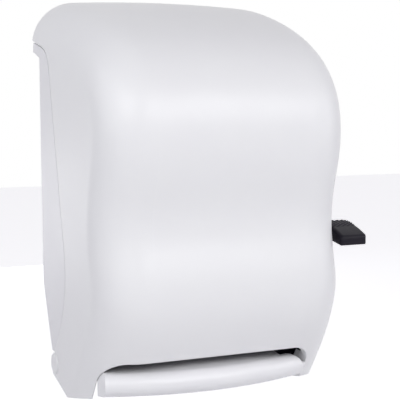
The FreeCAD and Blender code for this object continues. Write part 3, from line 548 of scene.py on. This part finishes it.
def fallBack(distance, radius):
    # how far a round edge or corner stands back, at a distance in from where it ends
    if distance >= radius:
        return 0
    return radius - math.sqrt(radius ** 2 - (radius - max(distance, 0)) ** 2)


def share(distance, fade):
    # from 0 at no distance to 1 at the fade's full length
    return min(max(distance / fade, 0), 1)


def ribHeight(look, x, y, fromSide, fromBack):
    stripe = (x - look["inside"] - y * look["ribLean"]) % look["ribPitch"]
    away = abs(stripe - look["ribPitch"] / 2) / (look["ribWide"] / 2)
    if away >= 1:
        return 0
    crest = math.cos(away * math.pi / 2) ** look["ribBlunt"]
    frontFade = share(look["ribReach"] - fromBack, look["ribFrontFade"])
    return look["ribRise"] * crest * frontFade * share(fromSide, look["ribSideFade"])


def paddlePoint(look, across, along, top):
    # a point of the paddle's top or underside, at its share of the width and the length
    y = look["front"] + along * (look["back"] - look["front"])
    fromFront, fromBack = y - look["front"], look["back"] - y
    left = look["inside"] + fallBack(fromFront, look["innerCorner"])
    right = look["inside"] + look["wide"] - fallBack(fromFront, look["outerCorner"])
    right -= fallBack(fromBack, look["backCorner"])
    x = left + across * (right - left)
    drop = max(
        fallBack(min(right - x, fromBack), look["edge"]),
        fallBack(fromFront, look["frontEdge"]),
        fallBack(x - left, look["innerEdge"] if top else look["edge"]))
    head = look["frontTop"] + along * (look["backTop"] - look["frontTop"])
    if not top:
        thick = look["frontThick"] + along * (look["rootThick"] - look["frontThick"])
        return x, y, head - thick + drop
    crown = look["crown"] * 4 * along * (1 - along)     # full half way along
    return x, y, head + crown - drop + ribHeight(look, x, y, min(x - left, right - x), fromBack)


def addPaddle(look):
    startClean()
    across, along = look["steps"]
    bpy.ops.mesh.primitive_grid_add(x_subdivisions=across, y_subdivisions=along, size=1)
    paddle = bpy.context.object
    bpy.ops.object.mode_set(mode="EDIT")
    bpy.ops.mesh.select_all(action="SELECT")
    bpy.ops.mesh.extrude_region_move(TRANSFORM_OT_translate={"value": (0, 0, -1)})
    bpy.ops.object.mode_set(mode="OBJECT")
    for point in paddle.data.vertices:      # of a unit block, with its top at 0
        point.co = paddlePoint(look, point.co.x + 0.5, point.co.y + 0.5, point.co.z > -0.5)
    return paddle


def addArm(look):
    startClean()
    pivotY, pivotZ = look["pivot"]
    inPaddle = look["back"] - look["armSink"]
    shoulder = look["hubRadius"] * look["armShoulder"]
    top = look["backTop"] - look["armDrop"]
    underside = look["backTop"] - look["rootThick"]
    outline = [
        (inPaddle, top - look["armDip"]),
        (look["back"], top + look["armRise"]),
        (pivotY - shoulder, pivotZ + shoulder),
        (pivotY, pivotZ + look["hubRadius"]),
        (pivotY, pivotZ - look["hubRadius"]),
        (look["back"], underside + look["armFoot"]),
        (inPaddle, underside + look["armFootInside"]),
    ]
    bpy.ops.mesh.primitive_circle_add(vertices=len(outline), radius=1, fill_type="NGON")
    arm = bpy.context.object
    for point, (y, z) in zip(arm.data.vertices, outline):
        point.co = (look["inside"], y, z)
    bpy.ops.object.mode_set(mode="EDIT")
    bpy.ops.mesh.select_all(action="SELECT")
    bpy.ops.mesh.extrude_region_move(TRANSFORM_OT_translate={"value": (look["armThick"], 0, 0)})
    bpy.ops.object.mode_set(mode="OBJECT")
    roundEdges(arm, look["armEdge"], look["armEdgeSteps"], look["sharpAngle"])
    return arm


def addHub(look):
    startClean()
    pivotY, pivotZ = look["pivot"]
    middle = look["inside"] + look["armThick"] / 2
    bpy.ops.mesh.primitive_cylinder_add(
        vertices=look["hubSides"], radius=look["hubRadius"], depth=look["armThick"],
        location=(middle, pivotY, pivotZ), rotation=(0, math.pi / 2, 0))
    hub = bpy.context.object
    bpy.ops.object.transform_apply(location=True, rotation=True, scale=True)
    bpy.ops.object.mode_set(mode="EDIT")
    bpy.ops.mesh.select_mode(type="FACE")
    bpy.ops.mesh.select_all(action="DESELECT")
    bpy.ops.object.mode_set(mode="OBJECT")
    mostlyOutward = 0.9
    for face in hub.data.polygons:      # only the outer end is selected
        face.select = face.normal.x > mostlyOutward
    bpy.ops.object.mode_set(mode="EDIT")
    bpy.ops.mesh.inset(thickness=look["recessRim"])
    bpy.ops.mesh.extrude_region_move(TRANSFORM_OT_translate={"value": (-look["recess"], 0, 0)})
    bpy.ops.object.mode_set(mode="OBJECT")
    roundEdges(hub, look["hubEdge"], look["hubEdgeSteps"], look["sharpAngle"])
    return hub


def addLever(look):
    pieces = [addPaddle(look), addArm(look), addHub(look)]
    lever = joinPieces("thumbLever", pieces, look["smoothAngle"])
    lever.data.materials.clear()
    lever.data.materials.append(finishes["lever_black"])
    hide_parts("lever_arm")
    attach(lever, "lever")


addLever(leverSettings)
print("thumb lever made")
